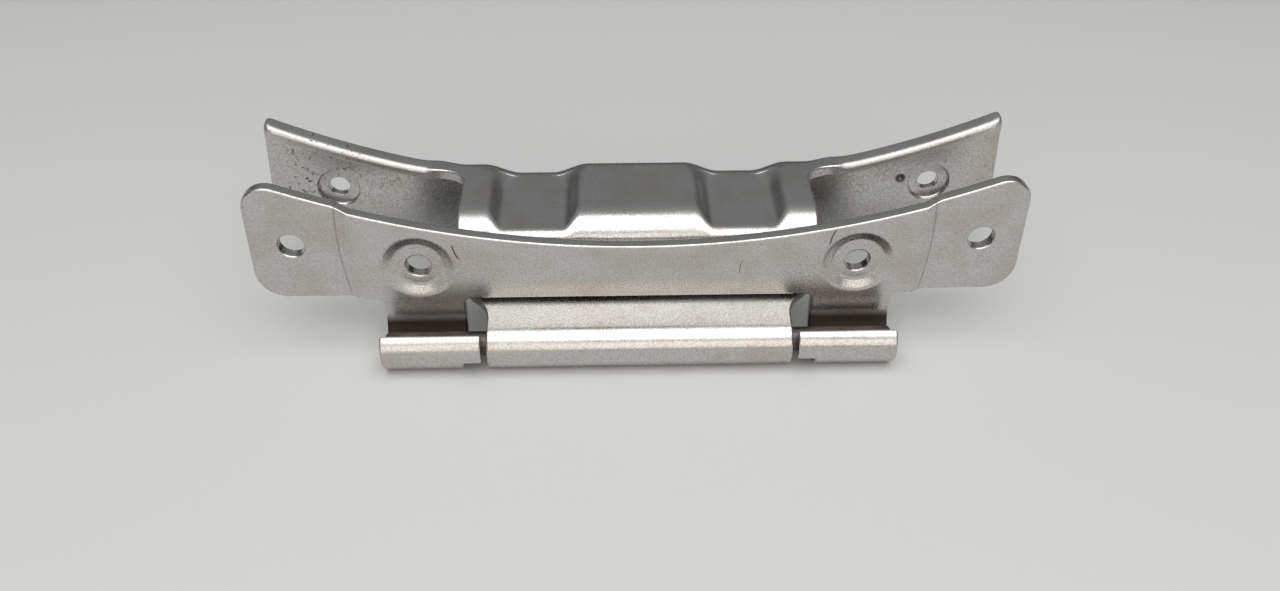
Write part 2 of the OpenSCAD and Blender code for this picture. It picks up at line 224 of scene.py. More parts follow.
def plated_steel(name, finish, shift, grime=0.0, marks=(), spots=(), cut_edge=None, grease_and_shade=False):
    """Zinc plating on pressed steel: grainy satin metal, a warm bloom, drawn lines and dark marks.

    shift moves the patterns, so that no two pieces share one. grime is how thickly the small dark
    specks lie on the outer ends. Each mark is (place, tilt, half length, half width, bow, strength)
    of a dark line: the hairlines are marks on the metal, and the lines along the jogs are painted
    shade. Each spot (place, radius) darkens a round patch. cut_edge is (height of the centre, radius,
    width, half) of a sheared edge that is duller beyond half, and grease darkens the hollow behind
    the pin with painted shade.
    """
    paint = Nodes(name)
    where = paint.add("ShaderNodeTexCoord")
    moved = paint.add("ShaderNodeMapping", Location=shift)
    paint.link(where, "Object", moved, "Vector")

    def noise(size, detail=2.0, stretch=(1, 1, 1)):
        """Soft noise whose lumps have about this size."""
        node = paint.add("ShaderNodeTexNoise", Scale=1 / size, Detail=detail)
        scaled = paint.add("ShaderNodeMapping", Scale=stretch)
        paint.link(moved, "Vector", scaled, "Vector")
        paint.link(scaled, "Vector", node, "Vector")
        return node

    def between(source, socket, low, high, to_low=0.0, to_high=1.0):
        """Smooth step of a value that goes from low to high, held beyond them."""
        node = paint.add("ShaderNodeMapRange")
        node.interpolation_type = "SMOOTHSTEP"
        settings = {"From Min": low, "From Max": high, "To Min": to_low, "To Max": to_high}
        for key, value in settings.items():
            node.inputs[key].default_value = value
        paint.link(source, socket, node, "Value")
        return node

    def combine(kind, first, second):
        """What an operation makes of two items, each a number or a node with its socket."""
        node = paint.add("ShaderNodeMath", operation=kind)
        for index, item in enumerate((first, second)):
            if isinstance(item, tuple):
                paint.tree.links.new(item[0].outputs[item[1]], node.inputs[index])
            else:
                node.inputs[index].default_value = item
        return node

    def blend(cover, socket, below, above):
        """The colour below, with the colour above over it where cover is high."""
        node = paint.add("ShaderNodeMix", data_type="RGBA")
        paint.link(cover, socket, node, "Factor")
        for side, item in ((MIX_A, below), (MIX_B, above)):
            if isinstance(item, bpy.types.Node):
                paint.link(item, MIX_RESULT, node, side)
            else:
                node.inputs[side].default_value = (*item, 1)
        return node

    grain = noise(finish.grain, 1.5)
    bloom = noise(9 * MM, 4)
    cloud = noise(38 * MM, 3)
    drawn = noise(0.55 * MM, 2, (0.035, 1, 1))
    speck = noise(0.85 * MM, 3)
    patch = noise(11 * MM, 2)
    swell = noise(16 * MM, 1)

    worn = between(bloom, "Fac", 0.44, 0.70, 0.0, 0.5)
    colour = blend(worn, "Result", finish.zinc, finish.tarnish)
    fine = between(grain, "Fac", 0.34, 0.74, 0.0, 0.42)
    colour = blend(fine, "Result", colour, finish.shade)
    lines = between(drawn, "Fac", 0.55, 0.78, 0.0, 0.16)
    colour = blend(lines, "Result", colour, finish.shade)

    apart = paint.add("ShaderNodeSeparateXYZ")
    paint.link(where, "Object", apart, "Vector")
    left = combine("MULTIPLY", (apart, "X"), -1.0)
    right = combine("MULTIPLY", (apart, "X"), 0.75)
    off = combine("MAXIMUM", (left, "Value"), (right, "Value"))
    outer = between(off, "Value", 48 * MM, 76 * MM, 0.15, 1.0)
    thick = combine("MULTIPLY", (outer, "Result"), grime)
    dots = between(speck, "Fac", 0.60, 0.68)
    areas = between(patch, "Fac", 0.42, 0.62, 0.15, 1.0)
    dirt_and_shade = combine("MULTIPLY", (dots, "Result"), (areas, "Result"))
    dirt_and_shade = combine("MULTIPLY", (dirt_and_shade, "Value"), (thick, "Value"))
    # Dark lines: the hairlines are marks on the metal, the lines along the jogs painted shade
    for place, tilt, half_length, half_width, bend, strength in marks:
        local = paint.add("ShaderNodeMapping")
        local.vector_type = "TEXTURE"
        local.inputs["Location"].default_value = place
        local.inputs["Rotation"].default_value = (0, tilt, 0)
        paint.link(where, "Object", local, "Vector")
        parts = paint.add("ShaderNodeSeparateXYZ")
        paint.link(local, "Vector", parts, "Vector")
        bow = combine("MULTIPLY", (parts, "Z"), (parts, "Z"))
        bow = combine("MULTIPLY", (bow, "Value"), bend)
        side = combine("SUBTRACT", (parts, "X"), (bow, "Value"))
        side = combine("ABSOLUTE", (side, "Value"), 0.0)
        close = between(side, "Value", 0.4 * half_width, half_width, 1.0, 0.0)
        far = combine("ABSOLUTE", (parts, "Z"), 0.0)
        ends = between(far, "Value", 0.6 * half_length, half_length, strength, 0.0)
        line = combine("MULTIPLY", (close, "Result"), (ends, "Result"))
        dirt_and_shade = combine("MAXIMUM", (dirt_and_shade, "Value"), (line, "Value"))
    # Each spot darkens a round patch, such as the one over the locating dimple
    for place, radius in spots:
        away = paint.add("ShaderNodeVectorMath", operation="DISTANCE")
        away.inputs[1].default_value = place
        paint.link(where, "Object", away, 0)
        round_patch = between(away, "Value", 0.9 * radius, 1.3 * radius, 0.65, 0.0)
        dirt_and_shade = combine("MAXIMUM", (dirt_and_shade, "Value"), (round_patch, "Result"))
    # Painted shade in the groove: the strip behind the pin axis, in front of the plate's face and low
    # down, is darkened
    if grease_and_shade:
        behind = between(apart, "Y", PIN_AXIS.y, PIN_AXIS.y + 2 * MM)
        ahead = between(apart, "Y", DOOR_FACE, DOOR_FACE + 0.3 * MM, 1.0, 0.0)
        below = between(apart, "Z", PIN_AXIS.z + 1 * MM, PIN_AXIS.z + 3.6 * MM, 1.0, 0.0)
        hollow = combine("MULTIPLY", (behind, "Result"), (ahead, "Result"))
        hollow = combine("MULTIPLY", (hollow, "Value"), (below, "Result"))
        dirt_and_shade = combine("MAXIMUM", (dirt_and_shade, "Value"), (hollow, "Value"))
    colour = blend(dirt_and_shade, "Value", colour, finish.stain_and_shade)
    paint.link(colour, MIX_RESULT, paint.shader, "Base Color")

    rough = between(cloud, "Fac", 0.35, 0.65, finish.gloss_low, finish.gloss_high)
    rough = combine("ADD", (rough, "Result"), (between(grain, "Fac", 0.3, 0.7, 0.0, 0.12), "Result"))
    rough = combine("ADD", (rough, "Value"), (between(dirt_and_shade, "Value", 0.0, 1.0, 0.0, 0.3), "Result"))
    if cut_edge:
        height, radius, width, half = cut_edge
        drop = combine("SUBTRACT", (apart, "Z"), height)
        drop = combine("MULTIPLY", (drop, "Value"), (drop, "Value"))
        out = combine("MULTIPLY", (apart, "X"), (apart, "X"))
        reach = combine("ADD", (drop, "Value"), (out, "Value"))
        reach = combine("SQRT", (reach, "Value"), 0.0)
        wide = combine("ABSOLUTE", (apart, "X"), 0.0)
        near = between(reach, "Value", radius + 0.7 * width, radius + width, 1.0, 0.0)
        beyond = between(wide, "Value", half, half + 1 * MM)
        sheared = combine("MULTIPLY", (near, "Result"), (beyond, "Result"))
        duller = between(sheared, "Value", 0.0, 1.0, 0.0, 0.14)
        rough = combine("ADD", (rough, "Value"), (duller, "Result"))
    paint.link(rough, "Value", paint.shader, "Roughness")
    paint.shader.inputs["Metallic"].default_value = 1.0

    heights = ((swell, "Fac", 0.035 * MM), (drawn, "Fac", 0.0016 * MM), (grain, "Fac", 0.011 * MM))
    above = None
    for source, socket, height in heights:
        bump = paint.add("ShaderNodeBump", Strength=1.0, Distance=height)
        paint.link(source, socket, bump, "Height")
        if above:
            paint.link(above, "Normal", bump, "Normal")
        above = bump
    paint.link(above, "Normal", paint.shader, "Normal")
    return paint.material


def dark_steel(name, finish):
    """The pin: drawn steel with fine lines along it, dark in front, partly with old grease and partly as
    painted shade of the groove, and clean behind.
    """
    # Near the front the pin is dark, partly old grease and partly painted shade of the groove; behind,
    # it is clean
    dark_front_end = 1.1 * MM
    clean_start = 1.9 * MM
    paint = Nodes(name)
    where = paint.add("ShaderNodeTexCoord")
    stretched = paint.add("ShaderNodeMapping", Scale=(0.05, 1, 1))
    paint.link(where, "Object", stretched, "Vector")
    lines = paint.add("ShaderNodeTexNoise", Scale=1 / (0.3 * MM), Detail=2)
    paint.link(stretched, "Vector", lines, "Vector")
    film = paint.add("ShaderNodeTexNoise", Scale=1 / (3 * MM), Detail=4)
    paint.link(where, "Object", film, "Vector")
    tone = paint.add("ShaderNodeMix", data_type="RGBA")
    paint.link(film, "Fac", tone, "Factor")
    tone.inputs[MIX_A].default_value = (*finish.grease_and_shade, 1)
    tone.inputs[MIX_B].default_value = (*finish.rubbed, 1)
    apart = paint.add("ShaderNodeSeparateXYZ")
    paint.link(where, "Object", apart, "Vector")
    behind = paint.add("ShaderNodeMapRange")
    behind.interpolation_type = "SMOOTHSTEP"
    behind.inputs["From Min"].default_value = PIN_AXIS.y + dark_front_end
    behind.inputs["From Max"].default_value = PIN_AXIS.y + clean_start
    paint.link(apart, "Y", behind, "Value")
    steel = paint.add("ShaderNodeMix", data_type="RGBA")
    paint.link(behind, "Result", steel, "Factor")
    paint.link(tone, MIX_RESULT, steel, MIX_A)
    steel.inputs[MIX_B].default_value = (*finish.bare, 1)
    paint.link(steel, MIX_RESULT, paint.shader, "Base Color")
    gloss = paint.add("ShaderNodeMapRange")
    gloss.inputs["To Min"].default_value = 0.22
    gloss.inputs["To Max"].default_value = 0.5
    paint.link(film, "Fac", gloss, "Value")
    paint.link(gloss, "Result", paint.shader, "Roughness")
    bump = paint.add("ShaderNodeBump", Strength=1.0, Distance=0.002 * MM)
    paint.link(lines, "Fac", bump, "Height")
    paint.link(bump, "Normal", paint.shader, "Normal")
    paint.shader.inputs["Metallic"].default_value = 1.0
    return paint.material


def ramp(x, start, end):
    """Smooth step from 0 to 1 as x goes from start to end: half a wave of a cosine."""
    return (1 - np.cos(np.pi * np.clip((x - start) / (end - start), 0, 1))) / 2


def turn(start, end, steps):
    """Angles from start to end, as a column."""
    return np.linspace(start, end, steps)[:, None]


class CabinetSheet:
    """The cabinet leaf as one bent sheet, measured from the pin axis.

    A point of the sheet is given by its place x along the pin, its station along the section and its
    depth under the outer face. The section climbs the back of the wall, goes over the bridge, comes
    down its front, runs forward as the tongue and rolls round the pin. An outward bend loses the depth
    from its radius, and the inward bend of the tongue gains it.
    """

    # Points across the sheet and along each stretch of its section
    columns = 181
    wall_rows = 7
    bend_rows = 9
    flare_rows = 13
    edge_steps = 5
    front_rows = {"top": 8, "run": 4, "bend": 14, "face": 5, "tongue_bend": 9, "tongue": 9, "roll": 46}

    def __init__(self, size):
        self.size = size
        self.back = -PIN_AXIS.y
        self.wall = self.back - size.thick
        self.lip = self.wall - size.wing_lip
        self.corner = size.rear_bend - size.thick
        self.join = size.bridge_half + size.flare_x
        self.bend_y = size.bridge_front - size.tongue_bend
        reach = size.roll_round + size.tongue_bend
        self.bend_z = (reach - self.bend_y * np.cos(size.tongue_turn)) / np.sin(size.tongue_turn)

    def channel(self, x, run_out=0):
        """0 on the floor of a channel and 1 beside it. As run_out goes to 1 the sides grow gentler."""
        size = self.size
        aside = abs(abs(x) - size.channel_x)
        inner = size.channel_floor / 2 * (1 - 0.45 * run_out)
        return ramp(aside, inner, size.channel_floor / 2 + size.channel_side * (1 + 0.35 * run_out))

    def hollow(self, x):
        """Height of the wing's top edge at x: a circle about a point far above."""
        size = self.size
        return size.wing_dip + size.wing_hollow - np.sqrt(size.wing_hollow ** 2 - x ** 2)

    def top(self, x, run_out=0):
        """Height at x: the bridge less its channels, running smoothly into the hollow of the wings."""
        size = self.size
        soft = 0.25 * MM
        over = self.hollow(x) - size.bridge_top
        sunk = size.channel_depth * (1 - self.channel(x, run_out))
        return size.bridge_top - sunk + soft * np.logaddexp(0, over / soft)

    def front_radius(self, x):
        """Outer radius of the front bend: small on the floor of a channel and large beside it."""
        size = self.size
        return size.channel_bend + (size.front_bend - size.channel_bend) * self.channel(x)

    def rear_radius(self, x):
        """The rear bend tightens from the bridge to the join, where the wing's top edge begins."""
        size = self.size
        tight = ramp(abs(x), size.bridge_half - size.edge, self.join)
        return size.rear_bend + (size.wing_back - size.rear_bend) * tight

    def back_rows(self, x):
        """Outer face: up the back of the wall, round the rear bend and on to the widening."""
        size = self.size
        radius = self.rear_radius(x)
        top = self.top(x, 1)
        share = np.linspace(0, 1, self.wall_rows)[:, None]
        low = size.wing_low + size.edge
        wall_z = low + share * (top - radius - low)
        wall_y = np.full_like(wall_z, self.back)
        angle = turn(0, np.pi / 2, self.bend_rows)[1:]
        bend_y = self.back - radius + radius * np.cos(angle)
        bend_z = top - radius + radius * np.sin(angle)
        deck_y = self.lip + size.edge + 0 * top
        return np.vstack([wall_y, bend_y, deck_y]), np.vstack([wall_z, bend_z, top])

    def inside_rows(self, x):
        """Inner face: up the front of the wall, round the hollow corner and on to the widening."""
        size = self.size
        radius = self.corner
        ceiling = self.top(x, 1) - size.thick
        share = np.linspace(0, 1, self.wall_rows)[:, None]
        low = size.wing_low + size.edge
        wall_z = low + share * (ceiling - radius - low)
        wall_y = np.full_like(wall_z, self.wall)
        angle = turn(0, np.pi / 2, self.bend_rows)[1:]
        bend_y = self.wall - radius * (1 - np.cos(angle)) + 0 * ceiling
        bend_z = ceiling - radius + radius * np.sin(angle)
        deck_y = self.lip + size.edge + 0 * ceiling
        return np.vstack([wall_y, bend_y, deck_y]), np.vstack([wall_z, bend_z, ceiling])

    def rim(self):
        """How far in from the edge, and how deep, the edge of the sheet runs: two quarter circles."""
        size = self.size
        angle = np.linspace(0, np.pi / 2, self.edge_steps)
        inset = size.edge * np.concatenate([1 - np.sin(angle), 1 - np.cos(angle)])
        outer = size.edge * (1 - np.cos(angle))
        inner = size.thick - size.edge * (1 - np.sin(angle))
        return inset, np.concatenate([outer, inner])

    def flare_edge(self):
        """Plan of the widening: a quarter of an ellipse from the wing's lip to the bridge's side."""
        size = self.size
        angle = turn(0, np.pi / 2, self.flare_rows)
        edge_x = self.join - size.flare_x * np.sin(angle)
        edge_y = self.lip - (size.flare_y - size.wing_lip) * (1 - np.cos(angle))
        return angle, edge_x, edge_y

    def spread(self, across, half):
        """Places along X for across from -1 to 1: even to near the edge, where they follow half."""
        even = 0.8
        even_half = 33 * MM
        rim_room = 2 * MM
        inner = np.minimum(even_half, half - rim_room)
        beyond = np.clip((abs(across) - even) / (1 - even), 0, 1)
        aside = np.minimum(abs(across) / even, 1) * inner + beyond * (half - inner)
        return np.sign(across) * aside

    def flare(self, across, depth_share):
        """A face of the widening. across runs from -1 to 1, depth_share is 0 outside and 1 inside."""
        size = self.size
        angle, edge_x, edge_y = self.flare_edge()
        x = self.spread(across, edge_x - size.edge * np.sin(angle))
        y = edge_y + size.edge * np.cos(angle)
        return x, y, self.top(x, 1 - angle / (np.pi / 2)) - size.thick * depth_share

    def flare_rim(self, side):
        """The edge of the sheet along the widening, rounded at right angles to it."""
        angle, edge_x, edge_y = self.flare_edge()
        inset, depth = self.rim()
        x = side * (edge_x - inset * np.sin(angle))
        y = edge_y + inset * np.cos(angle)
        return x, y, self.top(x, 1 - angle / (np.pi / 2)) - depth

    def front(self, x, depth):
        """y and z of the stations from the widening to the end of the roll, at x and depth.

        Straight stretches are even steps between their ends, each bend is an arc about its own centre,
        and the roll is an arc about the pin, into which the tongue runs as a tangent.
        """
        size = self.size
        rows = self.front_rows
        radius = self.front_radius(x)
        top = self.top(x)
        flare_end = self.wall - size.flare_y
        run_end = size.bridge_front + size.front_bend
        roll = size.roll_round - depth
        hollow = size.tongue_bend + depth
        y, z = np.empty_like(x), np.empty_like(x)
        start = 0
        for name, count in rows.items():
            part = slice(start, start + count)
            last = name == "roll"
            share = np.linspace(0, 1, count, endpoint=last)[:, None]
            rad, high, deep = radius[part], top[part], np.broadcast_to(depth, x.shape)[part]
            if name == "top":
                y[part], z[part] = flare_end + share * (run_end - flare_end), high - deep
            elif name == "run":
                y[part], z[part] = run_end + share * (size.bridge_front + rad - run_end), high - deep
            elif name == "bend":
                angle = np.pi / 2 * (1 + share)
                y[part] = size.bridge_front + rad + (rad - deep) * np.cos(angle)
                z[part] = high - rad + (rad - deep) * np.sin(angle)
            elif name == "face":
                y[part] = size.bridge_front + deep
                z[part] = high - rad + share * (self.bend_z - high + rad)
            elif name == "tongue_bend":
                angle = share * (size.tongue_turn - np.pi)
                y[part] = self.bend_y + np.broadcast_to(hollow, x.shape)[part] * np.cos(angle)
                z[part] = self.bend_z + np.broadcast_to(hollow, x.shape)[part] * np.sin(angle)
            elif name == "tongue":
                cos, sin = np.cos(size.tongue_turn), np.sin(size.tongue_turn)
                along = self.bend_y * sin - self.bend_z * cos
                reach = np.broadcast_to(roll, x.shape)[part]
                y[part] = reach * cos + (1 - share) * along * sin
                z[part] = reach * sin - (1 - share) * along * cos
            else:
                end = size.roll_end - size.edge / size.roll_round
                angle = size.tongue_turn + share * (end - size.tongue_turn)
                reach = np.broadcast_to(roll, x.shape)[part]
                y[part], z[part] = reach * np.cos(angle), reach * np.sin(angle)
            start += count
        return y, z

    def half_width(self):
        """Half the sheet's width at each station: the bridge, then the shoulders, then the knuckle."""
        size = self.size
        centre = np.zeros((sum(self.front_rows.values()), 1))
        y, z = self.front(centre, 0)
        tongue = np.zeros_like(y, dtype=bool)
        tongue[self.front_start("tongue_bend"):] = True
        tongue[self.front_start("roll"):] = False
        drop = size.shoulder_round ** 2 - (y - size.shoulder_y) ** 2
        shoulder = size.knuckle_half + size.shoulder_round - np.sqrt(np.clip(drop, 0, None))
        shoulder = np.minimum(shoulder, size.bridge_half)
        shoulder = np.where(y < size.shoulder_y, size.knuckle_half, shoulder)
        half = np.where(tongue, shoulder, size.bridge_half)
        half[self.front_start("roll"):] = size.knuckle_half
        return half

    def front_start(self, name):
        """The first station of a stretch of the section."""
        names = list(self.front_rows)
        return sum(self.front_rows[part] for part in names[:names.index(name)])

    def roll_cap(self, across):
        """The rounded end of the roll: its outline moves on and closes in, as a quarter circle does."""
        size = self.size
        half = size.knuckle_half
        inset, depth = self.rim()
        face = self.spread(across, half - size.edge)
        x = np.concatenate([face, half - inset, face[::-1], inset[::-1] - half])
        deep = np.concatenate([0 * face, depth, 0 * face + size.thick, depth[::-1]])
        angle = turn(0, np.pi / 2, self.edge_steps)
        shrink = size.edge * (1 - np.cos(angle))
        x = x * (1 - shrink / half)
        deep = size.thick / 2 + (deep - size.thick / 2) * (1 - 2 * shrink / size.thick)
        place = size.roll_end - size.edge * (1 - np.sin(angle)) / size.roll_round
        reach = size.roll_round - deep
        return x, reach * np.cos(place), reach * np.sin(place)

    def wing(self, side):
        """One wing: upright outlines one after another, closed at the end like the roll.

        Each outline goes up the back, over the lip, down the face and round the foot. Its top follows
        the hollow edge and, at the corners, quarter circles. Every point is then moved in towards mid
        length in proportion to its height, which gives the leaning end.
        """
        size = self.size
        bow = size.wing_half - size.wing_low_round
        near = np.linspace(self.join, self.join + 2 * size.wing_roll, 9)
        middle = np.linspace(near[-1], bow, 22)[1:]
        angle = np.linspace(0, np.pi / 2, 16)[1:]
        last = size.wing_half - size.edge
        round_end = bow + (last - bow) * np.sin(angle)
        cap = np.linspace(0, np.pi / 2, self.edge_steps)[1:]
        tip = last + size.edge * np.sin(cap)
        nominal = np.concatenate([near, middle, round_end, tip])[None, :]
        closing = size.edge * (1 - np.cos(cap))
        shrink = np.concatenate([np.zeros(nominal.size - cap.size), closing])[None, :]

        shear = np.tan(size.wing_lean) * (nominal - self.join) / (size.wing_half - self.join)
        top = self.top(nominal, 1)
        for _ in range(4):
            top = self.top(nominal - shear * (top - size.wing_low), 1)
        left = np.clip(size.wing_half - nominal, 0, size.wing_top_round)
        rise = np.sqrt(size.wing_top_round ** 2 - (size.wing_top_round - left) ** 2)
        top = top - size.wing_top_round + rise
        out = np.clip(nominal - bow, 0, size.wing_low_round)
        low = size.wing_low + size.wing_low_round - np.sqrt(size.wing_low_round ** 2 - out ** 2)

        grown = ramp(nominal, self.join, self.join + 1.6 * size.wing_roll)
        rim = size.edge + (size.wing_roll - size.edge) * grown
        behind = size.wing_back
        share = np.linspace(0, 1, self.wall_rows)[:, None]
        quarter = turn(0, np.pi / 2, self.bend_rows)[1:]
        small = turn(0, np.pi / 2, self.edge_steps)
        blank = np.zeros_like(nominal)
        run_out = np.clip((nominal - size.wing_half + size.lip_end) / size.lip_end, 0, 1)
        full = np.sqrt(1 - run_out ** 2)
        lip = self.wall - size.wing_lip * full
        ceiling = top - size.thick
        back_z = low + size.edge + share * (top - behind - low - size.edge)
        rear_y = self.back - behind + behind * np.cos(quarter) + blank
        rear_z = top - behind + behind * np.sin(quarter)
        rim_y = lip + rim * (1 - np.sin(small))
        rim_z = top - rim * (1 - np.cos(small))
        under_y = lip + full * size.edge * (1 - np.cos(small))
        under_z = ceiling + size.edge * (1 - np.sin(small))
        hollow_y = (self.wall - full * self.corner * (1 - np.cos(quarter)))[::-1]
        hollow_z = (ceiling - self.corner * (1 - np.sin(quarter)))[::-1]
        face_z = (low + size.edge + share * (ceiling - self.corner - low - size.edge))[::-1]
        foot_y = self.wall + size.edge * (1 - np.cos(small))
        foot_z = low + size.edge * (1 - np.sin(small))
        heel_y = self.back - size.edge * (1 - np.sin(small))
        heel_z = low + size.edge * (1 - np.cos(small))
        y = np.vstack([
            self.back + 0 * back_z, rear_y, rim_y, under_y, hollow_y,
            self.wall + 0 * face_z, foot_y + blank, heel_y + blank,
        ])
        z = np.vstack([back_z, rear_z, rim_z, under_z, hollow_z, face_z, foot_z, heel_z])
        middle_y = self.back - size.thick / 2
        middle_z = (top + low) / 2
        y = middle_y + (y - middle_y) * (1 - 2 * shrink / size.thick)
        z = middle_z + (z - middle_z) * (1 - 2 * shrink / (top - low))
        x = nominal - shear * (z - size.wing_low)
        return side * x, y, z

    def foot(self, x):
        """The rounded lower edge of the wall, from its inner face round to its outer one."""
        size = self.size
        small = turn(0, np.pi / 2, self.edge_steps)
        start = size.edge * (1 - np.cos(small))
        finish = size.edge * (1 - np.sin(small))
        y = np.vstack([self.wall + start, self.back - finish])
        z = size.wing_low + np.vstack([finish, start])
        return x + 0 * y, y + 0 * x, z + 0 * x

    def patches(self):
        """Every face of the leaf as a grid of points, and the wings and the roll's end as rings."""
        size = self.size
        across = np.linspace(-1, 1, self.columns)
        wall_x = self.spread(across[None, :], self.join)
        grids = []
        for y, z in (self.back_rows(wall_x), self.inside_rows(wall_x)):
            grids.append((wall_x + 0 * y, y, z))
        grids.append(self.foot(wall_x))
        grids += [self.flare(across[None, :], 0), self.flare(across[None, :], 1)]
        half = self.half_width()
        inset, depth = self.rim()
        for deep in (0, size.thick):
            x = self.spread(across[None, :], half - size.edge)
            grids.append((x, *self.front(x, np.full_like(x, deep))))
        for side in (-1, 1):
            grids.append(self.flare_rim(side))
            x = side * (half - inset[None, :])
            grids.append((x, *self.front(x, np.broadcast_to(depth, x.shape))))
        rings = [tuple(part.T for part in self.wing(side)) for side in (-1, 1)]
        rings.append(self.roll_cap(across))
        return grids, rings


def grid_faces(rows, columns, closed=False):
    """Quads of a grid of points, with the last column joined to the first if it is closed."""
    index = np.arange(rows * columns).reshape(rows, columns)
    if closed:
        index = np.hstack([index, index[:, :1]])
    corners = [index[:-1, :-1], index[:-1, 1:], index[1:, 1:], index[1:, :-1]]
    return np.stack(corners, axis=-1).reshape(-1, 4)


def surface_mesh(name, grids, rings, offset):
    """One closed mesh from grids of points and from rings, whose last outline gets a lid."""
    points, faces, count = [], [], 0
    for parts, closed in [(grid, False) for grid in grids] + [(ring, True) for ring in rings]:
        block = np.stack([np.broadcast_to(part, parts[0].shape) for part in parts], axis=-1)
        rows, columns = block.shape[:2]
        points.append(block.reshape(-1, 3) + offset)
        faces += (grid_faces(rows, columns, closed) + count).tolist()
        if closed:
            faces.append((np.arange(columns) + count + (rows - 1) * columns).tolist())
        count += rows * columns
    mesh = bpy.data.meshes.new(name)
    mesh.from_pydata(np.concatenate(points).tolist(), [], faces)
    shell = bmesh.new()
    shell.from_mesh(mesh)
    bmesh.ops.remove_doubles(shell, verts=shell.verts, dist=MERGE)
    bmesh.ops.dissolve_degenerate(shell, edges=shell.edges, dist=MERGE)
    bmesh.ops.recalc_face_normals(shell, faces=shell.faces)
    shell.to_mesh(mesh)
    shell.free()
    return mesh


def turned_cutter(name, profile, place, steps=72):
    """A closed body of revolution about a line along Y: each point of profile is a radius and a y."""
    radius, y = np.array(profile).T[:, :, None]
    angle = np.linspace(0, 2 * np.pi, steps, endpoint=False)[None, :]
    grid = radius * np.cos(angle), y + 0 * angle, radius * np.sin(angle)
    mesh = surface_mesh(name, [], [grid], np.array(place))
    cutter = bpy.data.objects.new(name, mesh)
    bpy.context.scene.collection.objects.link(cutter)
    return cutter


def rounded_mouth(radius, y, edge, outward):
    """Points of a hole's rounded mouth: a quarter circle from the wall of the hole to the face."""
    angle = np.linspace(0, np.pi / 2, 5)
    return [(radius + edge * (1 - np.cos(a)), y + outward * edge * (np.sin(a) - 1)) for a in angle]


def cut_away(obj, cutters):
    """Takes the cutters out of obj, keeps the result as obj's own mesh and deletes the cutters."""
    for cutter in cutters:
        cut = obj.modifiers.new(cutter.name, "BOOLEAN")
        cut.operation = "DIFFERENCE"
        cut.solver = "EXACT"
        cut.object = cutter
    bpy.context.view_layer.update()
    shown = obj.evaluated_get(bpy.context.evaluated_depsgraph_get())
    done = bpy.data.meshes.new_from_object(shown)
    obj.modifiers.clear()
    obj.data = done
    for cutter in cutters:
        bpy.data.objects.remove(cutter)


def make_cabinet_leaf(size):
    """The cabinet leaf: the bent sheet with two screw holes in sunk spots and a locating dimple."""
    sheet = CabinetSheet(size)
    grids, rings = sheet.patches()
    mesh = surface_mesh("cabinet_leaf", grids, rings, np.array(PIN_AXIS))
    leaf = bpy.data.objects.new("cabinet_leaf", mesh)
    bpy.context.scene.collection.objects.link(leaf)
    front, back = sheet.wall, sheet.back
    floor = front + size.spot_depth
    edge = 0.2 * MM
    draft = size.spot_depth / 2
    over = 2 * MM
    spot = [(0, front - over), (size.spot + edge, front - over), (size.spot + edge, front)]
    spot += rounded_mouth(size.spot, front, edge, -1)[::-1] + [(size.spot - draft, floor), (0, floor)]
    hole = [(0, front - over), (size.hole + edge, front - over), (size.hole + edge, floor)]
    hole += rounded_mouth(size.hole, floor, edge, -1)[::-1]
    hole += rounded_mouth(size.hole, back, edge, 1)
    hole += [(size.hole + edge, back + over), (0, back + over)]
    bend = np.linspace(-np.pi / 2, np.pi / 2, 9)
    ball = [(size.dimple * np.cos(a), front + size.dimple * np.sin(a)) for a in bend]
    cutters = []
    for side in (-1, 1):
        place = PIN_AXIS + Vector((side * size.hole_x, 0, size.hole_z))
        cutters += [turned_cutter("spot_cutter", spot, place), turned_cutter("hole_cutter", hole, place)]
    place = PIN_AXIS + Vector((size.dimple_x, 0, size.dimple_z))
    cutters.append(turned_cutter("dimple_cutter", ball, place, 24))
    cut_away(leaf, cutters)
    leaf.data.name = "cabinet_leaf"
    for face in leaf.data.polygons:
        face.use_smooth = True
    shade = leaf.modifiers.new("even shading", "WEIGHTED_NORMAL")
    shade.keep_sharp = False
    shade.weight = 80
    return leaf


def round_edges(obj, width, edges):
    """Joins the node's loose triangles, merges what is flat and rounds every sharp edge."""
    weld = obj.modifiers.new("join", "WELD")
    weld.merge_threshold = 1e-6
    flat = obj.modifiers.new("flat faces", "DECIMATE")
    flat.decimate_type = "DISSOLVE"
    flat.angle_limit = np.radians(0.4)
    bevel = obj.modifiers.new("round edges", "BEVEL")
    bevel.width = width
    bevel.segments = edges.steps
    bevel.limit_method = "ANGLE"
    bevel.angle_limit = edges.sharp_angle
    bevel.use_clamp_overlap = False
    bevel.loop_slide = False
    bevel.miter_outer = "MITER_ARC"
    bevel.harden_normals = False
    shade = obj.modifiers.new("even shading", "WEIGHTED_NORMAL")
    shade.keep_sharp = False
    shade.weight = 80


class HingeOperator:
    """What the operators of the hinge share."""

    bl_options = {"REGISTER", "UNDO"}


class HINGE_OT_door_leaf(HingeOperator, bpy.types.Operator):
    """Finish the leaf that carries the door"""

    bl_idname = "hinge.door_leaf"
    bl_label = "Door leaf"

    def execute(self, context):
        scene = context.scene
        leaf = frame["nodes"]["front_leaf"]
        round_edges(leaf, scene.hinge_edges.sheet_round, scene.hinge_edges)
        leaf.data.materials.clear()
        # The door leaf's plating carries painted shade in the groove behind the pin and along the jogs
        leaf.data.materials.append(plated_steel(
            "door_leaf_plating", scene.hinge_finish, (0.31, 0.12, 0.05), 0.25, DOOR_MARKS, grease_and_shade=True
        ))
        return {"FINISHED"}


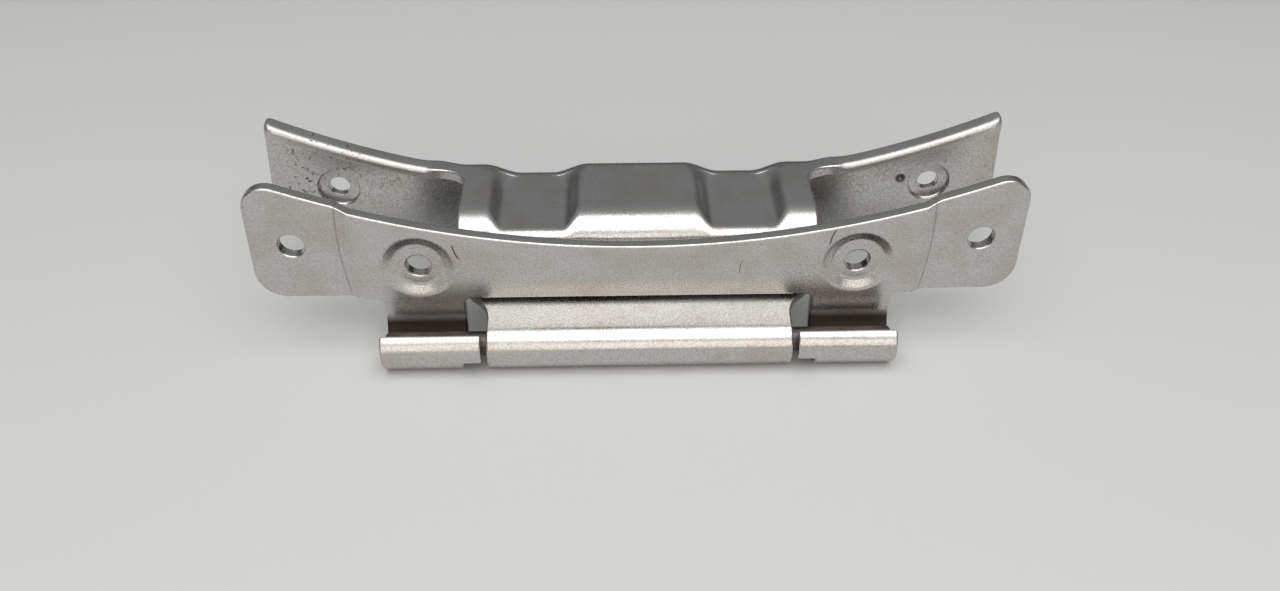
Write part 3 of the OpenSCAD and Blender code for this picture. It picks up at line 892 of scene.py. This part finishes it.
class HINGE_OT_cabinet_leaf(HingeOperator, bpy.types.Operator):
    """Finish the leaf that is screwed to the cabinet"""

    bl_idname = "hinge.cabinet_leaf"
    bl_label = "Cabinet leaf"

    def execute(self, context):
        scene = context.scene
        size = scene.hinge_sheet
        leaf = make_cabinet_leaf(size)
        centre = PIN_AXIS.z + size.wing_dip + size.wing_hollow
        dimple = PIN_AXIS + Vector((size.dimple_x, 0, size.dimple_z))
        dimple.y = -size.thick
        leaf.data.materials.append(plated_steel(
            "cabinet_leaf_plating", scene.hinge_finish, (0.07, 0.41, 0.23), 1.0,
            spots=((dimple, 1.3 * size.dimple),),
            cut_edge=(centre, size.wing_hollow, size.thick, size.bridge_half + size.flare_x),
        ))
        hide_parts("rear_leaf")
        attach(leaf, "cabinet_side")
        return {"FINISHED"}


class HINGE_OT_pin(HingeOperator, bpy.types.Operator):
    """Finish the pin"""

    bl_idname = "hinge.pin"
    bl_label = "Pin"

    def execute(self, context):
        scene = context.scene
        pin = frame["nodes"]["hinge_pin"]
        round_edges(pin, scene.hinge_edges.pin_round, scene.hinge_edges)
        pin.data.materials.clear()
        pin.data.materials.append(dark_steel("pin_steel", scene.hinge_finish))
        return {"FINISHED"}


def make_room(stage):
    """Soft light from all round, dimmer near the floor, which gives the bright metal its darks."""
    world = bpy.data.worlds.new("room")
    world.use_nodes = True
    tree = world.node_tree
    way = tree.nodes.new("ShaderNodeTexCoord")
    apart = tree.nodes.new("ShaderNodeSeparateXYZ")
    climb = tree.nodes.new("ShaderNodeMapRange")
    climb.interpolation_type = "SMOOTHSTEP"
    climb.inputs["From Min"].default_value = stage.sky_low
    climb.inputs["From Max"].default_value = stage.sky_high
    shade = tree.nodes.new("ShaderNodeMix")
    shade.data_type = "RGBA"
    shade.inputs[MIX_A].default_value = (*stage.skyline, 1)
    shade.inputs[MIX_B].default_value = (*stage.room, 1)
    tree.links.new(way.outputs["Generated"], apart.inputs["Vector"])
    tree.links.new(apart.outputs["Z"], climb.inputs["Value"])
    tree.links.new(climb.outputs["Result"], shade.inputs["Factor"])
    tree.links.new(shade.outputs[MIX_RESULT], tree.nodes["Background"].inputs["Color"])
    return world


def make_floor(stage):
    """A wide flat floor at the height of the hinge's lowest point."""
    size = 3.0
    mesh = bpy.data.meshes.new("floor")
    z = cad_low.z
    corners = [(-size, -size, z), (size, -size, z), (size, size, z), (-size, size, z)]
    mesh.from_pydata(corners, [], [(0, 1, 2, 3)])
    floor = bpy.data.objects.new("floor", mesh)
    bpy.context.scene.collection.objects.link(floor)
    paint = Nodes("floor_paint")
    paint.shader.inputs["Base Color"].default_value = (*stage.floor, 1)
    paint.shader.inputs["Roughness"].default_value = 0.85
    paint.shader.inputs["Specular IOR Level"].default_value = 0.2
    mesh.materials.append(paint.material)


def aim(obj, place, target):
    """Sets obj at place, looking at target."""
    obj.location = place
    obj.rotation_mode = "QUATERNION"
    obj.rotation_quaternion = (Vector(target) - Vector(place)).to_track_quat("-Z", "Y")


def make_lamp(name, place, target, size, power, tint=(1, 1, 1)):
    """A soft rectangular lamp at place, aimed at target."""
    lamp = bpy.data.lights.new(name, "AREA")
    lamp.shape = "RECTANGLE"
    lamp.size, lamp.size_y = size
    lamp.energy = power
    lamp.color = tint
    obj = bpy.data.objects.new(name, lamp)
    bpy.context.scene.collection.objects.link(obj)
    aim(obj, place, target)
    return obj


def make_camera(stage):
    """The camera looks down by pitch, to the right by yaw, and is rolled about its own axis."""
    pitch, yaw, roll = stage.pitch, stage.yaw, stage.roll
    ahead = np.array([np.sin(yaw) * np.cos(pitch), np.cos(yaw) * np.cos(pitch), -np.sin(pitch)])
    level = np.array([np.cos(yaw), -np.sin(yaw), 0])
    above = np.cross(level, ahead)
    right = np.cos(roll) * level + np.sin(roll) * above
    up = -np.sin(roll) * level + np.cos(roll) * above
    place = np.array(PIN_AXIS) + above * stage.rise - ahead * stage.distance
    data = bpy.data.cameras.new("camera")
    data.sensor_width = 36
    data.angle = stage.view_angle
    data.clip_start = 0.01
    camera = bpy.data.objects.new("camera", data)
    bpy.context.scene.collection.objects.link(camera)
    facing = Matrix(np.column_stack([right, up, -ahead]).tolist()).to_4x4()
    camera.matrix_world = Matrix.Translation(place.tolist()) @ facing
    bpy.context.scene.camera = camera


class HINGE_OT_stage(HingeOperator, bpy.types.Operator):
    """Set up the floor, the lamps and the camera"""

    bl_idname = "hinge.stage"
    bl_label = "Stage"

    def execute(self, context):
        stage = context.scene.hinge_stage
        context.scene.world = make_room(stage)
        make_floor(stage)
        centre = Vector((0, -0.018, -0.005))
        overhead = centre + Vector((0, -0.21, 0.64))
        main_size = (1.0, 0.66)
        make_lamp("main_lamp", overhead, centre, main_size, stage.main_power)
        ahead = centre + Vector((0, -0.72, 0.27))
        front_size = (1.1, 0.44)
        make_lamp("front_lamp", ahead, centre, front_size, stage.front_power, stage.front_colour)
        make_camera(stage)
        context.scene.view_settings.view_transform = "Standard"
        return {"FINISHED"}


class HINGE_PT_panel(bpy.types.Panel):
    """The hinge's pieces and settings"""

    bl_idname = "HINGE_PT_panel"
    bl_label = "Door hinge"
    bl_space_type = "VIEW_3D"
    bl_region_type = "UI"
    bl_category = "Hinge"

    def draw(self, context):
        layout = self.layout
        for step in STEPS:
            layout.operator(step.bl_idname)
        for group in (getattr(context.scene, name) for name in GROUPS):
            box = layout.box()
            for name in group.__annotations__:
                box.prop(group, name)


# Dark hairlines beside the dished seats, a faint one between them, and faint lines of painted shade
# along the two jogs, where the sloping metal turns.
# Each has a place, tilt, half length, half width, bow and strength.
DOOR_MARKS = (
    ((-36.6 * MM, DOOR_FACE, 1.9 * MM), np.radians(-16), 2.2 * MM, 0.22 * MM, 60, 0.8),
    ((38.2 * MM, DOOR_FACE, 4.7 * MM), np.radians(14), 2.3 * MM, 0.22 * MM, 60, 0.8),
    ((20.4 * MM, DOOR_FACE, -2.6 * MM), np.radians(8), 2.1 * MM, 0.13 * MM, 60, 0.6),
    # Painted shade along the two jogs
    ((-59.4 * MM, DOOR_FACE, 2.2 * MM), 0, 14 * MM, 0.3 * MM, 6, 0.3),
    ((58.6 * MM, DOOR_FACE, 1.6 * MM), 0, 14 * MM, 0.3 * MM, -6, 0.3),
)
STEPS = (HINGE_OT_door_leaf, HINGE_OT_cabinet_leaf, HINGE_OT_pin, HINGE_OT_stage)
GROUPS = {
    "hinge_sheet": HingeSheet,
    "hinge_edges": HingeEdges,
    "hinge_finish": HingeFinish,
    "hinge_stage": HingeStage,
}


def register():
    """Adds the settings, the operators and the panel."""
    for group in GROUPS.values():
        bpy.utils.register_class(group)
    for name, group in GROUPS.items():
        setattr(bpy.types.Scene, name, PointerProperty(type=group))
    for step in STEPS:
        bpy.utils.register_class(step)
    bpy.utils.register_class(HINGE_PT_panel)


def unregister():
    """Takes them out again."""
    bpy.utils.unregister_class(HINGE_PT_panel)
    for step in reversed(STEPS):
        bpy.utils.unregister_class(step)
    for name, group in GROUPS.items():
        delattr(bpy.types.Scene, name)
        bpy.utils.unregister_class(group)


def main():
    """Registers the add-on and makes every piece and the stage."""
    register()
    bpy.ops.hinge.door_leaf()
    bpy.ops.hinge.cabinet_leaf()
    bpy.ops.hinge.pin()
    bpy.ops.hinge.stage()


if __name__ == "__main__":
    main()
